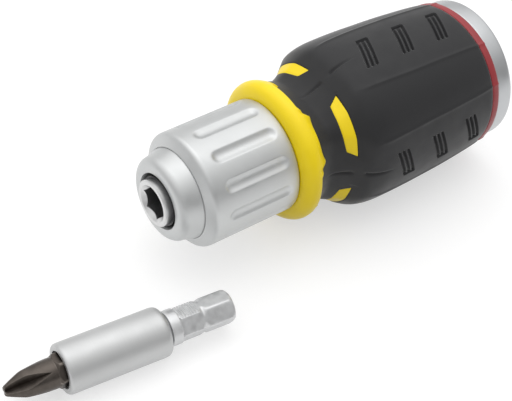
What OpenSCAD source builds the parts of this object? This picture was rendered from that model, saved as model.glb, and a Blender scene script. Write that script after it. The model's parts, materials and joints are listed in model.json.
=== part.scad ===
// Stubby ratcheting screwdriver with a quick-release nose, a selector sleeve, a two-part
// handle with a bit magazine, and a loose bit holder that lies beside it.
// Millimetres. The tool axis is X, from the nose to the end cap, and Z is up.

/* [Bit drive] */
// Across flats of the hexagon sockets
socket_af = 6.4; // [6.37:0.01:6.5]
// Depth of the socket in the nose
socket_depth = 11.9; // [11.7:0.1:12.1]
// Across flats of a bit or shank
shank_af = 6.35; // [6.25:0.01:6.35]
// Length of an insert bit
bit_len = 25; // [24.5:0.1:26]

/* [Spindle] */
// Diameter of the spindle's nose
spindle_d = 10.2; // [10:0.1:10.4]
// How far the spindle stands out of the collar
spindle_proud = 1.25; // [1:0.05:1.5]

/* [Release collar] */
// Largest diameter of the collar
collar_d = 19.86; // [19.5:0.01:20.1]
// Diameter of the collar's flat front face
collar_face_d = 14.4; // [14:0.1:15]
// Length of collar in front of the sleeve
collar_show = 4.75; // [4.4:0.05:5]
// Travel of the collar when it is pulled back
collar_travel = 2.5; // [2:0.1:2.6]

/* [Selector sleeve] */
// Diameter of the sleeve
sleeve_d = 25; // [24.8:0.1:26]
// Length of the sleeve
sleeve_len = 22.1; // [21.5:0.1:23]
// Turn of the selector to each side, in degrees
selector_swing = 20; // [15:1:20]
// Number of flutes round the sleeve
flute_count = 12; // [8:1:14]
// Length of a flute
flute_len = 15.5; // [12:0.1:16.5]
// Width of a flute
flute_w = 2.9; // [2.4:0.1:3.2]
// Depth of a flute
flute_depth = 0.55; // [0.3:0.05:0.6]

/* [Handle] */
// Diameter of the handle's front ring
ring_d = 31.1; // [30:0.1:32]
// Width of the front ring between its teeth
ring_w = 3.8; // [3.4:0.1:4.2]
// Largest diameter of the grip, over its plain panels
grip_d = 36.8; // [36:0.1:38.5]
// Length of the grip
grip_len = 46.6; // [45:0.1:49]

/* [End of the handle] */
// Diameter of the ring behind the grip
end_ring_d = 33.3; // [32.5:0.1:34]
// Width of the ring behind the grip
end_ring_w = 2; // [1.8:0.1:2.4]
// Diameter of the end cap
cap_d = 32; // [31:0.1:33]
// Length of the end cap
cap_len = 4.1; // [3.9:0.1:5]

/* [Bit magazine] */
// Diameter of the magazine
magazine_d = 24.8; // [24.4:0.1:25]
// Length of the magazine inside the handle
magazine_len = 16.3; // [15.5:0.1:18]
// Number of spare bits
spare_count = 6; // [4:1:6]

/* [Bit holder] */
// Diameter of the holder's sleeve
holder_d = 10.4; // [10.2:0.1:11.5]
// Length of the holder's sleeve
holder_len = 22.1; // [21:0.1:24]
// Length of the round neck behind the sleeve
neck_len = 2.9; // [2.6:0.1:3.4]
// Length of the holder's hexagon shank
shank_len = 12.1; // [12:0.1:12.6]
// Where the holder's sleeve begins, along the tool axis
holder_x = -32.4; // [-40:0.1:-30]
// Where the holder's sleeve begins, to the side
holder_y = -17.9; // [-30:0.1:-17]
// Heading of the holder on the floor, in degrees
holder_heading = -5.9; // [-10:0.1:0]

/* [Hidden] */
$fn = 48;

// Clearances shared by the fits, and the overrun of every cut
run_gap = 0.05;
part_gap = 0.1;
bond_gap = 0.05;
overrun = 1;
edge = 0.25;
clip_t = 0.8;
clip_mouth = 3;

// Quick-release nose
spindle_r = spindle_d / 2;
mouth_flare = 0.9;
hex_turn = 39;
ball_d = 1.8;
ball_turn = 69;
ball_reach = 0.4;
ball_lift = 0.5;
shank_groove = 8;
land_r = spindle_r + run_gap;
land_len = 3.5;
ramp_lead_share = 1.35;
ramp_share = ramp_lead_share * ball_lift / collar_travel;
collar_r = collar_d / 2;
collar_round = 2;
collar_face_r = collar_face_d / 2;
skirt_r = 7.8;
skirt_short = 0.6;
spring_solid_share = 0.1312;
spring_room = collar_travel + spring_solid_share * sleeve_len;
collar_wire_r = 0.3;
collar_coil_r = 6.4;
collar_turns = 4;
magnet_r = 2.6;
magnet_len = 3;

// Spindle behind the nose
flange_r = 7.5;
flange_t = 1.5;
journal_r = 5.6;
seat_r = 4.4;
seat_flat = 3.8;
rear_r = 3.7;
clip_groove_depth = 0.55;
washer_t = 1;
bush_share = 0.1357;
bush_len = bush_share * sleeve_len;
bush_r = 6.9;
rear_bush_len = 4.1;
rear_bush_r = 5.5;
spindle_tail = 1.5;
tail_room = 1.4;

// Ratchet
gear_teeth = 24;
gear_tip_r = 6.4;
gear_root_r = 5.7;
gear_share = 0.2262;
gear_w = gear_share * sleeve_len;
gear_space = 0.8;
tooth_shares = [0.12, 0.38, 0.62, 0.88];
chamber_gap = 0.3;
chamber_side = 0.4;
bush_step = 2.5;
window_half = 78;
window_step = 26;
pin_r = 0.9;
pin_pitch_r = 8.7;
pin_offset = 42;
pin_seat = 1.4;
pawl_w = gear_w - 2 * chamber_side;
pawl_boss_r = 1.5;
pawl_arm = 1.1;
nose_r = 6.9;
nose_offset = 12;
nose_back = 1.5;
nose_back_offset = 14;
tail_pitch_r = 10.14;
tail_offset = 61;
tail_tip_r = 0.5;
tail_arm = 1.2;
torsion_wire_r = 0.2;
torsion_turns = 1.5;

// Selector and its fit on the housing
sleeve_r = sleeve_d / 2;
collar_gap = 0.07;
nose_bore_r = collar_r + collar_gap;
nose_lip = 0.25;
cone_len = 1.2;
cone_round = 0.6;
flute_turn_share = 0.2;
flute_place_share = 0.552;
house_r = 10.4;
house_bore_r = house_r + run_gap;
cam_throw = 0.6;
snap_place = 1;
snap_depth = 0.5;
detent_place = 1.7;
detent_ball_r = 0.8;
detent_rise = 0.15;
detent_track = 0.25;
detent_notch = 0.5;
detent_bed = 2.6;
detent_floor_r = house_r - detent_bed - detent_ball_r;
detent_wire_r = 0.12;
detent_turns = 4;

// Handle
grip_r = grip_d / 2;
ring_r = ring_d / 2;
ring_step = 0.4;
ring_round_share = 0.63;
tail_r = 9.4;
key_w = 2.2;
key_h = 0.8;
key_count = 4;
petal_root = 0.9;
petal_sink = 0.05;
spigot_r = 13.8;
end_ring_r = end_ring_d / 2;
end_ring_round = 0.5;

// Sections along the grip: share of its length, plain panel and grooved panel as shares of its
// radius, and half the angle of a plain panel
grip_shares = [
    [0.000, 0.818, 0.758, 5.0],
    [0.033, 0.786, 0.715, 5.0],
    [0.097, 0.738, 0.662, 5.0],
    [0.139, 0.770, 0.690, 6.0],
    [0.183, 0.835, 0.750, 9.0],
    [0.226, 0.907, 0.832, 14.0],
    [0.268, 0.965, 0.908, 19.0],
    [0.322, 0.993, 0.950, 19.4],
    [0.386, 1.000, 0.965, 19.0],
    [0.505, 0.997, 0.965, 18.3],
    [0.611, 0.986, 0.957, 17.8],
    [0.719, 0.974, 0.946, 17.6],
    [0.826, 0.955, 0.932, 17.3],
    [0.934, 0.931, 0.913, 17.0],
    [1.000, 0.910, 0.895, 16.5]
];
rest_share = 0.965;
rest_h = grip_r * rest_share;
// Core under the grip: shares of the grip's length and of its radius
core_shares = [[0, 0.63], [0.117, 0.61], [0.32, 0.826], [0.797, 0.815], [1, 0.772]];
quarter = 90;
half_quarter = 45;
grip_turn = 1.2;
lobe_turn = half_quarter + grip_turn;
panel_steps = 3;
flank_steps = 5;
loft_steps = 24;
patch_steps = 8;

// Yellow petals and the teeth of the front ring, as places along the grip and half angles
petal_front_share = 0.158;
petal_rear_share = 0.203;
petal_front_half = 21.6;
petal_rear_half = 27.3;
tooth_rear_share = 0.039;
tooth_front_half = 27;
tooth_rear_half = 20.5;

// Groups of slanted grooves on the grooved panels
groove_place_shares = [0.452, 0.665, 0.876];
groove_count = 3;
groove_w = 0.62;
groove_pitch = 1.2;
groove_depth = 0.55;
groove_half_share = 0.203;
groove_slant_share = 0.42;
groove_sides = 6;

// Creases along the middle of each grooved panel: places from the thin end to the thick one
crease_place_shares = [[0.077, 0.191], [0.378, 0.247]];
crease_thin = 0.15;
crease_thick = 0.4;
crease_sink_share = 0.6;
crease_steps = 3;
crease_turn = 23;

// End of the handle
cap_r = cap_d / 2;
cap_round = 0.5;
cap_pocket_r = 10.9;
cap_pocket = 1.9;
cap_thread = 1.2;
screw_r = 1.9;
screw_head_r = 3.4;
screw_head = 2.2;
screw_drive_af = 2.5;
screw_drive = 1.3;
magazine_r = magazine_d / 2;
magazine_gap = 0.2;
chamber_room = 2;
pocket_floor = 3.3;
pocket_pitch_r = 8.1;
o_ring_r = 0.58;
o_ring_sink = 0.45;
o_ring_place = 1.8;

// Insert bit, measured from its tip
bit_hex_share = 0.62;
bit_body_r = 3.1;
bit_shoulder = 0.4;
bit_mid = 5;
bit_mid_r = 2.84;
bit_nose = 2.6;
bit_nose_r = 2.2;
bit_tip_r = 1.2;
bit_tip_flat_r = 0.85;
bit_tip_flat = 0.35;
bit_flute_r = 1.3;
bit_flute_floor = 0.55;
bit_flute_lean = 13;
bit_flutes = 4;
bit_corner_share = 0.985;

// Bit holder
holder_r = holder_d / 2;
holder_front_round = 0.7;
holder_rear_round = 1.2;
holder_lip = 1;
holder_lip_r = 3.85;
holder_body_r = 4.2;
holder_wall = 0.6;
holder_bit_depth = 13.6;
holder_magnet_r = 3;
holder_magnet_len = 3;
neck_r = 3.7;
neck_groove_r = 3.05;
neck_groove = 0.6;
shank_corner_r = 3.58;
shank_chamfer = 0.8;
shank_notch_r = 3.1;
shank_notch = 0.7;
shank_turn = 30;
bit_turn = 20;
arc_steps = 6;

// Places along the tool axis
x_collar = spindle_proud;
x_sleeve = x_collar + collar_show;
x_sleeve_end = x_sleeve + sleeve_len;
x_ring = x_sleeve_end + part_gap;
x_grip = x_ring + ring_w;
x_tail = x_grip + grip_len;
x_spigot = x_tail + end_ring_w;
x_cap = x_spigot + part_gap;
x_end = x_cap + cap_len;
x_ball = socket_depth - shank_groove;
x_spring = x_ball + land_len;
x_flange = x_spring + spring_room;
x_skirt = x_flange - skirt_short;
x_thrust = x_flange + flange_t;
x_house = x_thrust + part_gap + washer_t;
x_bush_end = x_house + bush_len;
x_gear = x_bush_end + gear_space;
x_gear_end = x_gear + gear_w;
x_window = x_gear - chamber_side;
x_window_end = x_gear_end + chamber_side;
x_rear = x_gear_end + run_gap;
x_rear_bush = x_gear_end + bush_step;
x_circlip = x_rear_bush + rear_bush_len + part_gap;
x_spindle_end = x_circlip + clip_t + spindle_tail;
x_house_end = x_spindle_end + tail_room;
x_snap = x_house + snap_place;
x_detent = x_ring - detent_place;
x_nose_clip = (x_collar + x_ball - ball_d) / 2;
x_magazine = x_cap - magazine_len;
x_pocket_floor = x_cap - pocket_floor;
x_chamber = x_pocket_floor - bit_len - chamber_room;
x_o_ring = x_cap - o_ring_place;
chamber_r = magazine_r + magazine_gap;
ball_r = ball_d / 2;
ball_seat_r = socket_af / 2 / cos(30) - ball_reach + ball_r;
pin_spot = [pin_pitch_r * sin(pin_offset), pin_pitch_r * cos(pin_offset)];

// Shared shapes
function polar(r, a) = [r * cos(a), r * sin(a)];
function unit(v) = v / norm(v);
function side(v) = [v[1], -v[0]];
function ramp_r(x) = land_r + ramp_share * max(x_ball - x, 0);
function arc(c, r, a0, a1) =
    [for (i = [0:arc_steps]) c + polar(r, a0 + (a1 - a0) * i / arc_steps)];

// Smooth curve through the rows of a table, at place s in its first column
function slope(t, i, c) =
    let (a = max(i - 1, 0), b = min(i + 1, len(t) - 1))
    (t[b][c] - t[a][c]) / (t[b][0] - t[a][0]);
function row_at(t, s, i = 0) = i == len(t) - 2 || s < t[i + 1][0] ? i : row_at(t, s, i + 1);
function curve(t, s, c) =
    let (i = row_at(t, s), h = t[i + 1][0] - t[i][0], u = (s - t[i][0]) / h)
    t[i][c] * (1 + 2 * u) * (1 - u) * (1 - u) + slope(t, i, c) * h * u * (1 - u) * (1 - u)
    + t[i + 1][c] * u * u * (3 - 2 * u) + slope(t, i + 1, c) * h * u * u * (u - 1);

// Radius of the grip at share s of its length, and angle a from the middle of a plain panel
function panel_half(s) = curve(grip_shares, s, 3);
function grip_skin(s, a) =
    let (p = panel_half(s), lobe = curve(grip_shares, s, 1), flat = curve(grip_shares, s, 2))
    let (t = max(abs(a) - p, 0) / (half_quarter - p))
    grip_r * (flat + (lobe - flat) * (1 - t) * (1 - t));
function grip_x(s) = x_grip + s * grip_len;
// Angle of step j of a section, so that one row of points runs along each panel's edge
function skin_angle(s, j) =
    let (p = panel_half(s), n = abs(j))
    sign(j) * (n <= panel_steps ? p * n / panel_steps
        : p + (half_quarter - p) * (n - panel_steps) / flank_steps);
function skin_ring(s) = [
    for (q = [0:3]) for (j = [-panel_steps - flank_steps:panel_steps + flank_steps - 1])
        let (a = skin_angle(s, j))
        concat(polar(grip_skin(s, a), lobe_turn + q * quarter + a), grip_x(s))
];

// Closed solid through a row of rings with equal counts of points
module ring_solid(rings) {
    n = len(rings[0]);
    m = len(rings);
    points = [for (r = rings) each r];
    walls = [
        for (i = [0:m - 2]) for (j = [0:n - 1])
            let (a = i * n + j, b = i * n + (j + 1) % n)
            each [[a, b + n, b], [a, a + n, b + n]]
    ];
    first = [[for (j = [0:n - 1]) j]];
    last = [[for (j = [n - 1:-1:0]) (m - 1) * n + j]];
    polyhedron(points, concat(walls, first, last), 8);
}

// Block under the grip's skin between two places, with its own half angles
module skin_patch(s0, s1, half0, half1, r_floor, lift) {
    ring_solid([
        for (i = [0:panel_steps])
            let (u = i / panel_steps, s = s0 + (s1 - s0) * u, w = half0 + (half1 - half0) * u)
            concat(
                [for (j = [0:patch_steps])
                    let (a = w * (2 * j / patch_steps - 1))
                    concat(polar(grip_skin(max(s, 0), a) + lift, a), grip_x(s))],
                [for (j = [patch_steps:-1:0])
                    let (a = w * (2 * j / patch_steps - 1))
                    concat(polar(r_floor, a), grip_x(s))]
            )
    ]);
}

// Unbroken wire coil about Z, with 8 rings a turn and 6 sides
module coil(r, wire_r, z0, z1, turns) {
    rings_per_turn = 8;
    sides = 6;
    steps = turns * rings_per_turn;
    rise = (z1 - z0 - 2 * wire_r) / turns;
    lean = atan2(rise, 2 * PI * r);
    ring_solid([
        for (i = [0:steps])
            let (a = 360 * i / rings_per_turn, z = z0 + wire_r + rise * i / rings_per_turn)
            let (out = [cos(a), sin(a), 0], up = [sin(a) * sin(lean), -cos(a) * sin(lean), cos(lean)])
            [for (k = [0:sides - 1])
                let (b = -360 * k / sides)
                r * out + [0, 0, z] + wire_r * (cos(b) * out + sin(b) * up)]
    ]);
}

module on_axis() rotate([90, 0, 90]) children();

module rod(r, z0, z1) translate([0, 0, z0]) cylinder(r = r, h = z1 - z0);

module tube(r_in, r_out, z0, z1) {
    difference() {
        rod(r_out, z0, z1);
        rod(r_in, z0 - overrun, z1 + overrun);
    }
}

module hex_rod(af, z0, z1) {
    translate([0, 0, z0]) rotate(30) cylinder(d = af / cos(30), h = z1 - z0, $fn = 6);
}

// Flat ring with a gap, as a snap ring or circlip
module clip(r_in, r_out, z0) {
    difference() {
        tube(r_in, r_out, z0, z0 + clip_t);
        translate([0, -clip_mouth / 2, z0 - overrun])
            cube([r_out + overrun, clip_mouth, clip_t + 2 * overrun]);
    }
}

// Round bar across the axis, at turn a, from radius r0 to r1
module spoke(r, a, x, r0, r1) {
    rotate(a) translate([r0, 0, x]) rotate([0, 90, 0]) cylinder(r = r, h = r1 - r0);
}

module drive_seat(x0, x1) {
    intersection() {
        rod(seat_r, x0, x1);
        translate([-seat_r, -seat_flat, x0]) cube([2 * seat_r, 2 * seat_flat, x1 - x0]);
    }
}

module house_keys() {
    for (k = [0:key_count - 1])
        rotate(half_quarter + 360 * k / key_count)
            translate([0, -key_w / 2, x_ring - overrun])
                cube([tail_r + key_h, key_w, x_house_end - edge - x_ring + overrun]);
}

// Insert bit with its tip at z = 0 and its hexagon towards +Z
module insert_bit() {
    hex_z = bit_len * (1 - bit_hex_share);
    difference() {
        union() {
            rotate_extrude() polygon([
                [0, 0],
                [bit_tip_flat_r, 0],
                [bit_tip_r, bit_tip_flat],
                [bit_nose_r, bit_nose],
                [bit_mid_r, bit_mid],
                [bit_body_r, hex_z - bit_shoulder],
                [bit_body_r, hex_z + bit_shoulder],
                [0, hex_z + bit_shoulder]
            ]);
            intersection() {
                hex_rod(shank_af, hex_z, bit_len);
                rod(shank_af / 2 / cos(30) * bit_corner_share, hex_z, bit_len);
            }
        }
        for (k = [0:bit_flutes - 1])
            rotate(360 * k / bit_flutes)
                translate([bit_flute_floor + bit_flute_r, 0, 0])
                    rotate([0, bit_flute_lean, 0])
                        rod(bit_flute_r, -overrun * 2, hex_z);
    }
}

// Handle
module core_shape(grow) {
    rotate_extrude() polygon(concat(
        [[0, x_grip - overrun]],
        [[core_shares[0][1] * grip_r + grow, x_grip - overrun]],
        [for (c = core_shares) [c[1] * grip_r + grow, grip_x(c[0])]],
        [[core_shares[4][1] * grip_r + grow, x_tail + overrun], [0, x_tail + overrun]]
    ));
}

module petals(lift, gap) {
    r_floor = core_shares[1][1] * grip_r - petal_root;
    gap_share = gap / grip_len;
    spread = atan(gap / r_floor);
    for (q = [0:3]) rotate(lobe_turn + q * quarter) {
        skin_patch(petal_front_share - gap_share, petal_rear_share + gap_share,
            petal_front_half + spread, petal_rear_half + spread, r_floor, lift);
        skin_patch(-petal_root / grip_len, tooth_rear_share + gap_share,
            tooth_front_half + spread, tooth_rear_half + spread, r_floor, lift);
    }
}

module front_ring() {
    round_w = ring_w * ring_round_share;
    rise = ring_r - sleeve_r;
    rotate_extrude() polygon(concat(
        [[0, x_ring]],
        [for (i = [0:arc_steps])
            let (a = 90 * i / arc_steps)
            [sleeve_r + rise * sin(a), x_ring + round_w * (1 - cos(a))]],
        [[ring_r - ring_step / 2, x_grip], [0, x_grip]]
    ));
}

module handle_core() {
    color("gold") on_axis() difference() {
        union() {
            front_ring();
            intersection() {
                core_shape(0);
                rod(grip_r, x_ring + ring_w / 2, x_tail);
            }
            rod(spigot_r, x_tail - overrun, x_spigot);
            petals(-petal_sink, 0);
        }
        rod(tail_r, x_ring - overrun, x_house_end);
        house_keys();
        rod(chamber_r, x_chamber, x_spigot + overrun);
    }
}

// Pin at end e of groove k, across the middle of a grooved panel
module groove_end(s, slant, k, e) {
    half = groove_half_share * grip_r;
    x = grip_x(s) + (k - (groove_count - 1) / 2) * groove_pitch + e * slant * half * groove_slant_share;
    translate([grip_skin(s, half_quarter) - groove_depth, e * half, x]) rotate([0, 90, 0])
        cylinder(d = groove_w, h = groove_depth + overrun, $fn = groove_sides);
}

// Slanted grooves, joined by a cross groove at their rear ends
module groove_group(s, slant) {
    for (k = [0:groove_count - 1])
        hull() for (e = [-1, 1]) groove_end(s, slant, k, e);
    hull() for (k = [0, groove_count - 1]) groove_end(s, slant, k, slant);
}

// Tapered crease along the middle of a grooved panel, in straight lengths
module crease(thin_place, thick_place) {
    for (i = [0:crease_steps - 1]) hull() for (u = [i, i + 1] / crease_steps) {
        s = thin_place + (thick_place - thin_place) * u;
        r = crease_thin + (crease_thick - crease_thin) * u;
        translate([grip_skin(s, half_quarter) + r * crease_sink_share, 0, grip_x(s)])
            rotate(crease_turn) sphere(r = r, $fn = groove_sides);
    }
}

module grip() {
    color([0.22, 0.22, 0.23]) on_axis() difference() {
        ring_solid([for (i = [0:loft_steps]) skin_ring(i / loft_steps)]);
        core_shape(bond_gap);
        petals(overrun, bond_gap);
        for (q = [0:3]) rotate(grip_turn + q * quarter) {
            for (s = groove_place_shares) groove_group(s, q % 2 == 0 ? 1 : -1);
            for (c = crease_place_shares) crease(c[0], c[1]);
        }
    }
}

module end_ring() {
    color("firebrick") on_axis() rotate_extrude() polygon(concat(
        [[spigot_r, x_tail], [end_ring_r, x_tail]],
        arc([end_ring_r - end_ring_round, x_spigot - end_ring_round], end_ring_round, 0, 90),
        [[spigot_r, x_spigot]]
    ));
}

module end_cap() {
    color("gainsboro") on_axis() difference() {
        rotate_extrude() polygon(concat(
            [[0, x_cap], [cap_r - edge, x_cap], [cap_r, x_cap + edge]],
            arc([cap_r - cap_round, x_end - cap_round], cap_round, 0, 90),
            [[0, x_end]]
        ));
        rod(cap_pocket_r, x_cap - overrun, x_cap + cap_pocket);
        rod(screw_r, x_cap, x_cap + cap_pocket + cap_thread);
    }
}

module bit_magazine() {
    color("dimgray") on_axis() difference() {
        union() {
            rod(magazine_r, x_magazine, x_cap);
            rod(cap_pocket_r, x_cap - overrun, x_cap + cap_pocket);
        }
        for (k = [0:spare_count - 1])
            rotate(360 * k / spare_count) translate([pocket_pitch_r, 0, 0])
                hex_rod(socket_af, x_magazine - overrun, x_pocket_floor);
        rod(screw_r, x_magazine, x_cap + cap_pocket + overrun);
        rod(screw_head_r, x_magazine - overrun, x_magazine + screw_head);
        tube(magazine_r - o_ring_sink - o_ring_r, magazine_r + overrun,
            x_o_ring - o_ring_r, x_o_ring + o_ring_r);
    }
}

module spare_bits() {
    color("darkslategray") on_axis()
        for (k = [0:spare_count - 1])
            rotate(360 * k / spare_count)
                translate([pocket_pitch_r, 0, x_pocket_floor - bit_len]) insert_bit();
}

module magazine_o_ring() {
    color("black") on_axis()
        rotate_extrude() translate([magazine_r - o_ring_sink, x_o_ring]) circle(r = o_ring_r);
}

module cap_screw() {
    color("gray") on_axis() difference() {
        union() {
            rod(screw_head_r, x_magazine, x_magazine + screw_head);
            rod(screw_r, x_magazine, x_cap + cap_pocket + cap_thread);
        }
        hex_rod(screw_drive_af, x_magazine - overrun, x_magazine + screw_drive);
    }
}

// Ratchet
module ratchet_housing() {
    window_r = house_r + overrun;
    color("darkgray") on_axis() difference() {
        union() {
            rod(house_r, x_house, x_ring);
            rod(tail_r, x_ring - overrun, x_house_end);
            house_keys();
        }
        rod(bush_r, x_house - overrun, x_bush_end);
        rod(gear_tip_r + chamber_gap, x_bush_end - overrun, x_window_end);
        rod(rear_r + chamber_gap, x_window_end - overrun, x_rear_bush + overrun);
        rod(rear_bush_r, x_rear_bush, x_house_end + overrun);
        translate([0, 0, x_window]) linear_extrude(x_window_end - x_window) polygon(concat(
            [[0, 0]],
            [for (a = [-window_half:window_step:window_half]) polar(window_r, 90 + a)]
        ));
        pawl_pin_shapes(pin_r);
        spoke(detent_ball_r + run_gap, -90, x_detent, detent_floor_r, house_r + overrun);
        tube(house_r - snap_depth, house_r + overrun, x_snap, x_snap + clip_t);
    }
}

module front_bush() {
    color("darkgoldenrod") on_axis() tube(journal_r + run_gap, bush_r, x_house, x_bush_end);
}

module rear_bush() {
    color("darkgoldenrod") on_axis()
        tube(rear_r + run_gap, rear_bush_r, x_rear_bush, x_rear_bush + rear_bush_len);
}

module thrust_washer() {
    color("silver") on_axis() tube(journal_r + run_gap, flange_r, x_house - washer_t, x_house);
}

module ratchet_gear() {
    pitch = 360 / gear_teeth;
    radii = [gear_root_r, gear_tip_r, gear_tip_r, gear_root_r];
    color("slategray") on_axis() difference() {
        translate([0, 0, x_gear]) linear_extrude(gear_w) polygon([
            for (i = [0:gear_teeth - 1]) for (k = [0:3]) polar(radii[k], (i + tooth_shares[k]) * pitch)
        ]);
        drive_seat(x_gear - overrun, x_gear_end + overrun);
    }
}

module pawl() {
    pin = pin_spot;
    nose = nose_r * [sin(nose_offset), cos(nose_offset)];
    back = (nose_r + nose_back) * [sin(nose_back_offset), cos(nose_back_offset)];
    tail = tail_pitch_r * [sin(tail_offset), cos(tail_offset)];
    to_nose = side(unit(nose - pin)) * pawl_arm;
    to_tail = side(unit(pin - tail));
    x0 = x_window + chamber_side / 2;
    difference() {
        union() {
            translate(pin) rod(pawl_boss_r, x0, x0 + pawl_w);
            translate(tail) rod(tail_tip_r, x0, x0 + pawl_w);
            translate([0, 0, x0]) linear_extrude(pawl_w)
                polygon([nose, back, pin + to_nose, pin - to_nose]);
            translate([0, 0, x0]) linear_extrude(pawl_w) polygon([
                pin + to_tail * tail_arm,
                tail + to_tail * tail_tip_r,
                tail - to_tail * tail_tip_r,
                pin - to_tail * tail_arm
            ]);
        }
        translate(pin) rod(pin_r + run_gap, x0 - overrun, x0 + pawl_w + overrun);
    }
}

module pawl_right() {
    color("steelblue") on_axis() pawl();
}

module pawl_left() {
    color("steelblue") on_axis() mirror([1, 0, 0]) pawl();
}

module pawl_pin_shapes(r) {
    for (e = [-1, 1])
        translate([e * pin_spot[0], pin_spot[1], 0])
            rod(r, x_window - pin_seat, x_window_end + pin_seat);
}

module pawl_pins() {
    color("lightgray") on_axis() pawl_pin_shapes(pin_r);
}

module pawl_springs() {
    r = pin_r + part_gap + torsion_wire_r;
    x0 = x_window + chamber_side + pawl_w;
    color("lightsteelblue") on_axis()
        for (e = [-1, 1])
            translate([e * pin_spot[0], pin_spot[1], 0])
                coil(r, torsion_wire_r, x0, x_window_end - part_gap, torsion_turns);
}

// Selector
module selector_sleeve() {
    flute_r = (flute_w * flute_w / 4 + flute_depth * flute_depth) / (2 * flute_depth);
    flute_run = flute_len - flute_w;
    flute_mid = x_sleeve + flute_place_share * sleeve_len;
    color("lightgray") on_axis() difference() {
        rotate_extrude() polygon([
            [nose_bore_r, x_sleeve],
            [nose_bore_r + nose_lip, x_sleeve],
            [sleeve_r - edge, x_sleeve + cone_len],
            [sleeve_r, x_sleeve + cone_len + cone_round],
            [sleeve_r, x_sleeve_end - edge],
            [sleeve_r - edge, x_sleeve_end],
            [house_bore_r, x_sleeve_end],
            [house_bore_r, x_house - part_gap],
            [nose_bore_r, x_house - part_gap]
        ]);
        for (k = [0:flute_count - 1])
            rotate((k - flute_turn_share) * 360 / flute_count)
                translate([sleeve_r - flute_depth + flute_r, 0, flute_mid]) {
                    rod(flute_r, -flute_run / 2, flute_run / 2);
                    for (e = [-1, 1]) translate([0, 0, e * flute_run / 2]) sphere(r = flute_r);
                }
        translate([0, cam_throw, 0]) rod(house_bore_r, x_window, x_window_end);
        rod(house_bore_r + snap_depth + part_gap, x_snap - part_gap, x_snap + clip_t + part_gap);
        rod(house_bore_r + detent_track, x_detent - detent_ball_r, x_detent + detent_ball_r);
        for (k = [-1, 0, 1])
            spoke(detent_ball_r, -90 + k * selector_swing, x_detent, house_r,
                house_bore_r + detent_notch);
    }
}

module selector_snap_ring() {
    color("gray") on_axis() clip(house_r - snap_depth, house_bore_r + snap_depth, x_snap);
}

module detent_ball() {
    color("silver") on_axis()
        rotate(-90) translate([house_bore_r + detent_rise - detent_ball_r, 0, x_detent])
            sphere(r = detent_ball_r);
}

module detent_spring() {
    top = house_bore_r + detent_rise - 2 * detent_ball_r;
    color("lightsteelblue") on_axis()
        rotate(-90) translate([0, 0, x_detent]) rotate([0, 90, 0])
            coil(detent_ball_r - 2 * detent_wire_r, detent_wire_r, detent_floor_r, top, detent_turns);
}

// Quick-release nose
module spindle() {
    clip_r = spindle_r - clip_groove_depth;
    color("silver") on_axis() difference() {
        union() {
            rotate_extrude() polygon([
                [0, 0],
                [spindle_r - edge, 0],
                [spindle_r, edge],
                [spindle_r, x_flange],
                [flange_r, x_flange],
                [flange_r, x_thrust],
                [journal_r, x_thrust],
                [journal_r, x_gear],
                [0, x_gear]
            ]);
            drive_seat(x_gear - overrun, x_rear);
            rod(rear_r, x_gear_end - overrun, x_spindle_end);
        }
        rotate(hex_turn) hex_rod(socket_af, -overrun, socket_depth);
        translate([0, 0, -overrun]) cylinder(r1 = socket_af / 2 + mouth_flare + overrun,
            r2 = socket_af / 2, h = mouth_flare + overrun);
        rod(magnet_r, socket_depth - overrun, socket_depth + magnet_len);
        spoke(ball_r + run_gap, ball_turn, x_ball, socket_af / 2 - overrun, spindle_r + overrun);
        tube(clip_r, spindle_r + overrun, x_nose_clip, x_nose_clip + clip_t);
        tube(rear_r - clip_groove_depth, rear_r + overrun, x_circlip, x_circlip + clip_t);
    }
}

module spindle_circlip() {
    color("gray") on_axis() clip(rear_r - clip_groove_depth, rear_bush_r - chamber_gap, x_circlip);
}

module collar_retaining_ring() {
    r_out = ramp_r(x_nose_clip + clip_t) - part_gap;
    color("dimgray") on_axis() rotate(-90) clip(spindle_r - clip_groove_depth, r_out, x_nose_clip);
}

module socket_magnet() {
    color("gray") on_axis() rod(magnet_r, socket_depth, socket_depth + magnet_len);
}

module release_collar() {
    color("lightgray") on_axis() rotate_extrude() polygon(concat(
        [[ramp_r(x_collar), x_collar]],
        [for (i = [0:arc_steps])
            let (a = 90 * i / arc_steps)
            [collar_face_r + collar_round * sin(a), x_collar + collar_round * (1 - cos(a))]],
        [
            [collar_r, x_sleeve],
            [collar_r, x_skirt],
            [skirt_r, x_skirt],
            [skirt_r, x_spring],
            [land_r, x_spring],
            [land_r, x_ball]
        ]
    ));
}

module collar_spring() {
    color("lightsteelblue") on_axis()
        coil(collar_coil_r, collar_wire_r, x_spring + run_gap, x_flange - run_gap, collar_turns);
}

module lock_ball() {
    color("silver") on_axis() rotate(ball_turn) translate([ball_seat_r, 0, x_ball]) sphere(r = ball_r);
}

// Bit holder
module at_holder() {
    translate([holder_x, holder_y, holder_r - rest_h]) rotate([0, 0, holder_heading]) on_axis() children();
}

module holder_sleeve() {
    color("lightgray") at_holder() rotate_extrude() polygon(concat(
        [[holder_lip_r, 0]],
        arc([holder_r - holder_front_round, holder_front_round], holder_front_round, -90, 0),
        arc([holder_r - holder_rear_round, holder_len - holder_rear_round], holder_rear_round, 0, 90),
        [
            [neck_groove_r + part_gap, holder_len],
            [neck_groove_r + part_gap, holder_len - holder_wall],
            [holder_body_r, holder_len - holder_wall],
            [holder_body_r, holder_lip],
            [holder_lip_r, holder_lip]
        ]
    ));
}

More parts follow.
